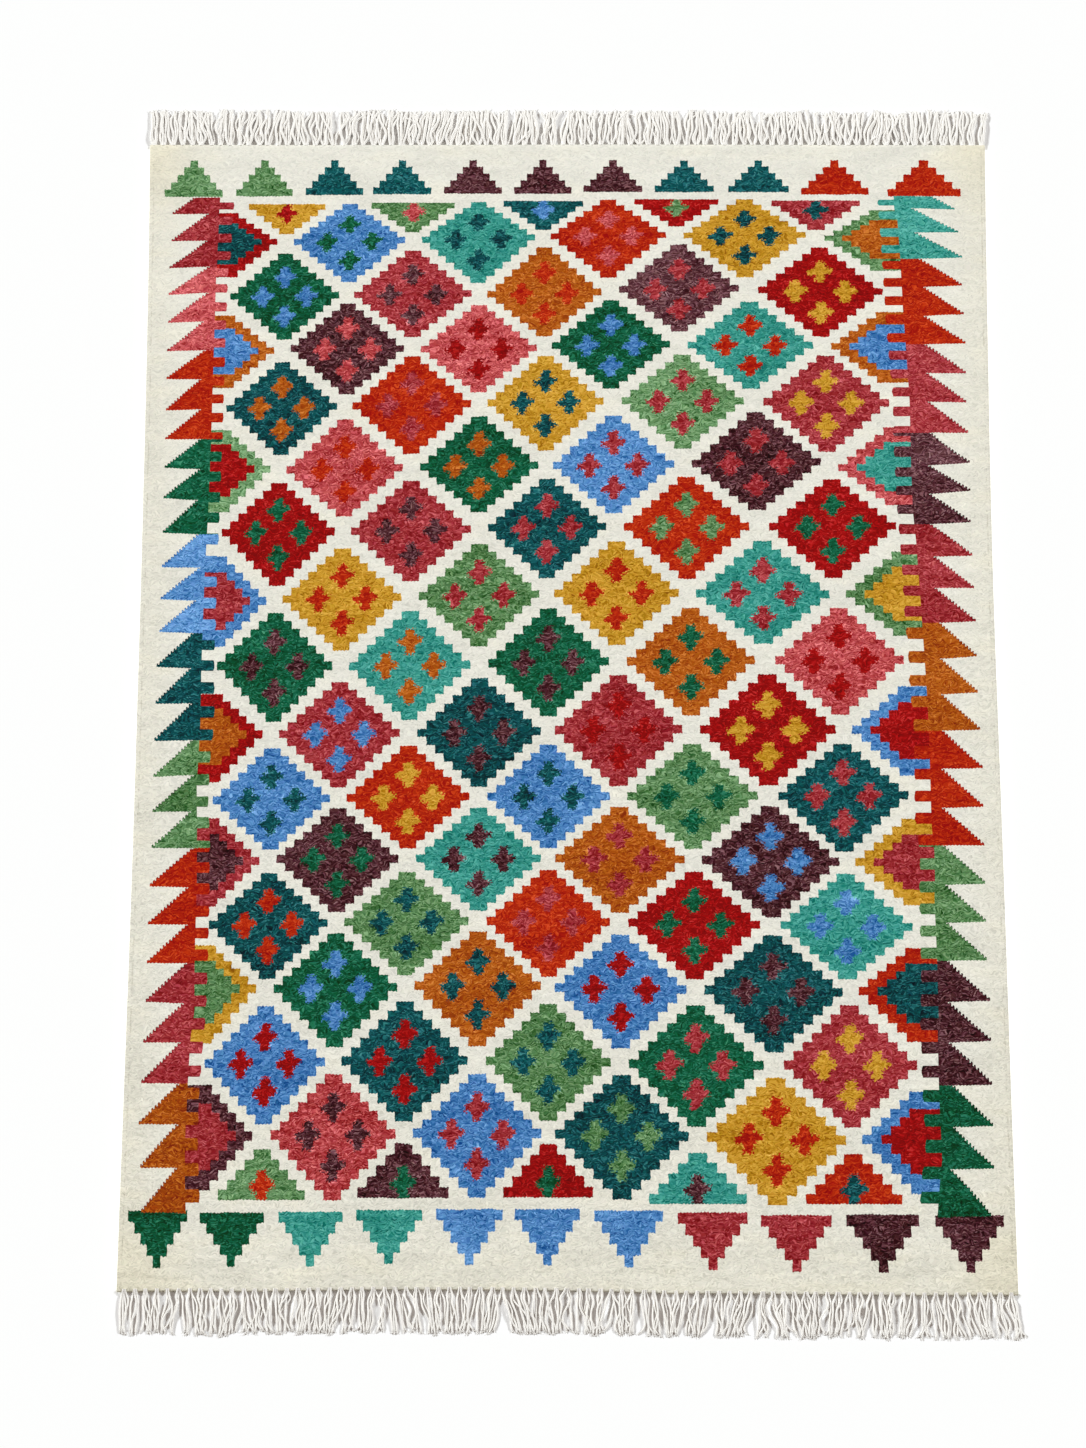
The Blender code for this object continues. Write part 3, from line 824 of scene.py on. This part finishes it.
def fringe_paths(sizes, cloth, outward, dice):
    """The warp ends of one end of the cloth, each a run of (x, y, z, thickness).

    A group's yarns leave the cloth side by side, bow apart, meet again and then
    wander off over one another to their frayed tips.
    """
    head = outward > 0
    way = SimpleNamespace(**{key: ends[0 if head else 1] for key, ends in FRINGE_WAYS.items()})
    edge, part = (head_edge, 0.0) if head else (foot_edge, 1.0)
    left, right = -half_width(cloth, part, -1), half_width(cloth, part, 1)
    length = sizes.head_length if head else sizes.foot_length
    bundles = sizes.head_bundles if head else sizes.foot_bundles
    middle_y = HEAD_Y - cloth.length / 2
    thick = sizes.radius * way.thickness
    paths = []
    lean = 0.0
    for bundle in range(bundles):
        across = bundle / (bundles - 1)
        shy = 1.0 - abs(2.0 * across - 1.0) ** 16  # the outermost groups lie stiller
        root = left + way.corner[0] + (right - left - way.corner[0] - way.corner[1]) * across
        root += dice.uniform(-0.0014, 0.0014) * shy
        lean = lean * 0.4 + dice.gauss(0.0, way.lean)
        bundle_lean = max(min(lean, 0.015), -0.015) * shy
        bundle_lean += way.splay[1] * across ** 20 - way.splay[0] * (1.0 - across) ** 20
        narrow, wide = dice.uniform(*way.neck), dice.uniform(*way.spread)
        belly, meet = dice.uniform(*way.belly), dice.uniform(0.38, 0.66)
        count = dice.choice(way.yarns)
        layers = [(number % 3) * 0.0013 * (0.3 + 0.7 * shy) for number in range(count)]
        dice.shuffle(layers)
        bundle_reach = length + dice.uniform(-0.0020, 0.0016)
        bundle_reach += way.slant[0] - way.slant[1] * across
        # A short core fills the neck under the yarns.
        paths.append([(MIDDLE_X + root, middle_y + edge(cloth, root) + outward * out, z, size)
                      for out, z, size in CORE])
        for number in range(count):
            q = 2.0 * number / (count - 1) - 1.0 + dice.uniform(-0.15, 0.15)
            aim = (0.62 * q + dice.gauss(0.0, 0.48)) * 0.0082 * (0.3 + 0.7 * shy)
            sweep = dice.gauss(0.0, 0.0100) if dice.random() < 0.20 else dice.gauss(0.0, 0.0020)
            hook = dice.gauss(0.0, 0.0045) if dice.random() < 0.35 else 0.0
            curl, phase = dice.gauss(0.0, 0.0018), dice.uniform(0.0, 6.3)
            loop = dice.gauss(0.0, 0.0070) if dice.random() < 0.10 else 0.0
            reach = bundle_reach + dice.uniform(-0.0028, 0.0018) - abs(hook) * 0.5
            path = []
            for step in range(YARN_STEPS + 1):
                p = step / YARN_STEPS
                late = p * p * (3.0 - 2.0 * p)
                fan = 1.0 - math.exp(-(p * reach / way.opening) ** 1.5)
                x = root + q * (narrow + (wide - narrow) * fan) * (1.0 - late) + aim * late
                x += q * belly * math.sin(math.pi * min(p / meet, 1.0)) ** 2
                x += (bundle_lean * p ** 1.4 + sweep * shy * p ** 1.8
                      + hook * max(p - 0.75, 0.0) ** 2 * 16.0)
                x += curl * math.sin(phase + 7.5 * p) * min(p * 4.0, 1.0)
                x += loop * shy * math.sin(math.pi * p) ** 2
                y = edge(cloth, root) + outward * (-way.inset + (reach + way.inset) * p)
                arch = math.sin(math.pi * min(p * 1.1 + 0.04, 1.0)) ** 0.6
                z = thick * 1.1 + layers[number] * arch
                z += way.rise * max(1.0 - p * way.descent, 0.0) ** 0.7
                size = dice.uniform(0.92, 1.1) if step < YARN_STEPS else 0.7
                path.append((MIDDLE_X + x, middle_y + y, z, size * thick / sizes.radius))
            paths.append(path)
            # The cut end frays into a few hairs.
            tip, before = Vector(path[-1][:3]), Vector(path[-2][:3])
            ahead = (tip - before).normalized()
            for _ in range(3):
                aside = Vector((dice.uniform(-0.7, 0.7), 0.0, 0.0))
                size = dice.uniform(0.0024, 0.0050)
                ends = [tip - ahead * 0.004, tip + (ahead + aside) * size * 0.5,
                        tip + (ahead + aside * 1.5) * size]
                paths.append([(e.x, e.y, max(e.z - 0.0003 * k, 0.0008), 0.42 - 0.12 * k)
                              for k, e in enumerate(ends)])
    # A row of twining holds the warp ends, just inside the cloth's end.
    left, right = left + 0.003, right - 0.003
    places = [left + (right - left) * step / 40 for step in range(41)]
    paths.append([(MIDDLE_X + x, middle_y + edge(cloth, x) - outward * 0.0026, 0.0021, 1.3)
                  for x in places])
    return paths


def fringe_object(name, paths, radius, underside_shade):
    """Every path as a round yarn, joined in one mesh."""
    curve = bpy.data.curves.new(name, "CURVE")
    curve.dimensions = "3D"
    curve.bevel_depth = radius
    curve.bevel_resolution = 1
    curve.use_fill_caps = True
    for path in paths:
        spline = curve.splines.new("POLY")
        spline.points.add(len(path) - 1)
        for point, (x, y, z, thick) in zip(spline.points, path):
            point.co, point.radius = (x, y, z, 1.0), thick
    item = bpy.data.objects.new(name, curve)
    bpy.context.scene.collection.objects.link(item)
    deselect()
    item.select_set(True)
    bpy.context.view_layer.objects.active = item
    bpy.ops.object.convert(target="MESH")
    bpy.ops.object.shade_smooth()
    item.data.uv_layers[0].name = "OFBake"
    item.data.name = name
    # Painted shade: the further a yarn's surface turns to the floor, the darker its colour,
    # weighted for each end.
    under = item.data.attributes.new("under", "FLOAT", "POINT")
    for vertex, value in zip(item.data.vertices, under.data):
        value.value = (0.5 - 0.5 * vertex.normal.z) * underside_shade
    return item


class RUG_OT_fringes(bpy.types.Operator):
    """Lay the loose warp ends along both ends of the cloth"""
    bl_idname = "rug.fringes"
    bl_label = "Lay fringes"

    def execute(self, context):
        cloth, sizes = context.scene.rug_cloth, context.scene.rug_fringe
        finish = cotton_warp(context.scene.rug_yarns)
        dice = random.Random(sizes.seed)
        # Each end's weight of painted shade on the yarns' sides and undersides, lighter at the
        # head.
        for end, outward, underside_shade in (("head", 1, 0.35), ("foot", -1, 1.0)):
            paths = fringe_paths(sizes, cloth, outward, dice)
            item = fringe_object("warp_ends_" + end, paths, sizes.radius, underside_shade)
            item.data.materials.clear()
            item.data.materials.append(finish)
            bpy.data.collections["side_light_shading"].objects.link(item)
            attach(item, "root")
            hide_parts("fringe_" + end)
        return {"FINISHED"}


# ---- stage

ROOM_COLOUR, ROOM_STRENGTH = (1.0, 0.82, 0.71, 1.0), 0.185
SIDE_LIGHTS = (("left_light", 3.32, -1), ("right_light", 2.60, 1))  # name, strength, side
LIGHT_COLOUR = (0.943, 0.985, 1.0)
LOOK_DOWN = 0.0422  # the camera looks this far towards the foot from the cloth's middle


class RUG_OT_stage(bpy.types.Operator):
    """Set up the floor, the soft light and the camera"""
    bl_idname = "rug.stage"
    bl_label = "Set stage"

    def execute(self, context):
        scene, stage = context.scene, context.scene.rug_stage
        scene.view_settings.view_transform = "Standard"
        deselect()
        bpy.ops.mesh.primitive_plane_add(size=30.0, location=(0, 0, 0))
        floor = context.object
        floor.name = "floor"
        paint = Finish("floor_paint", Roughness=0.9, Specular_IOR_Level=0.1,
                       Base_Color=(*stage.floor, 1.0))
        floor.data.materials.append(paint.material)

        world = bpy.data.worlds.new("soft_room")
        scene.world = world
        world.use_nodes = True
        back = world.node_tree.nodes["Background"]
        back.inputs["Color"].default_value = ROOM_COLOUR
        back.inputs["Strength"].default_value = ROOM_STRENGTH
        # Two low soft lights from the sides.  The fringes alone shade them, so that the
        # yarns stand out and the cloth throws no hard shadow beside it.
        shading = bpy.data.collections.new("side_light_shading")
        for name, energy, side in SIDE_LIGHTS:
            light = bpy.data.lights.new(name, "SUN")
            light.energy, light.angle, light.color = energy, math.radians(10.0), LIGHT_COLOUR
            lamp = bpy.data.objects.new(name, light)
            ray = -Vector((0.86 * side, 0.32, 0.50))
            lamp.rotation_euler = ray.to_track_quat("-Z", "Y").to_euler()
            scene.collection.objects.link(lamp)
            lamp.light_linking.blocker_collection = shading

        camera = bpy.data.cameras.new("camera")
        camera.lens = stage.lens
        camera.sensor_fit = "VERTICAL"
        camera.sensor_height = camera.sensor_width = 36.0
        camera.shift_x = -0.01685
        camera.clip_end = 100.0
        view = bpy.data.objects.new("camera", camera)
        scene.collection.objects.link(view)
        e = stage.elevation
        aim = Vector((MIDDLE_X, HEAD_Y - 0.890 - LOOK_DOWN, 0.0))
        view.location = aim + stage.distance * Vector((0.0, -math.cos(e), math.sin(e)))
        view.rotation_euler = (math.pi / 2 - e, 0.0, 0.0)
        scene.camera = view
        return {"FINISHED"}


class RUG_PT_panel(bpy.types.Panel):
    """Lists the rug's pieces and settings"""
    bl_idname = "RUG_PT_panel"
    bl_label = "Dhurrie rug"
    bl_space_type = "VIEW_3D"
    bl_region_type = "UI"
    bl_category = "Rug"

    def draw(self, context):
        for operator in OPERATORS:
            self.layout.operator(operator.bl_idname)
        for name in SETTINGS:
            group = getattr(context.scene, name)
            for key in group.bl_rna.properties.keys():
                if key not in ("rna_type", "name"):
                    self.layout.prop(group, key)


SETTINGS = {"rug_yarns": RugYarns, "rug_cloth": RugCloth, "rug_fringe": RugFringe,
            "rug_stage": RugStage}
OPERATORS = (RUG_OT_stage, RUG_OT_cloth, RUG_OT_fringes)


def register():
    for item in (*SETTINGS.values(), *OPERATORS, RUG_PT_panel):
        bpy.utils.register_class(item)
    for name, group in SETTINGS.items():
        setattr(bpy.types.Scene, name, PointerProperty(type=group))


def unregister():
    for name in SETTINGS:
        delattr(bpy.types.Scene, name)
    for item in reversed((*SETTINGS.values(), *OPERATORS, RUG_PT_panel)):
        bpy.utils.unregister_class(item)


def main():
    register()
    bpy.ops.rug.stage()
    bpy.ops.rug.cloth()
    bpy.ops.rug.fringes()


if __name__ == "__main__":
    main()
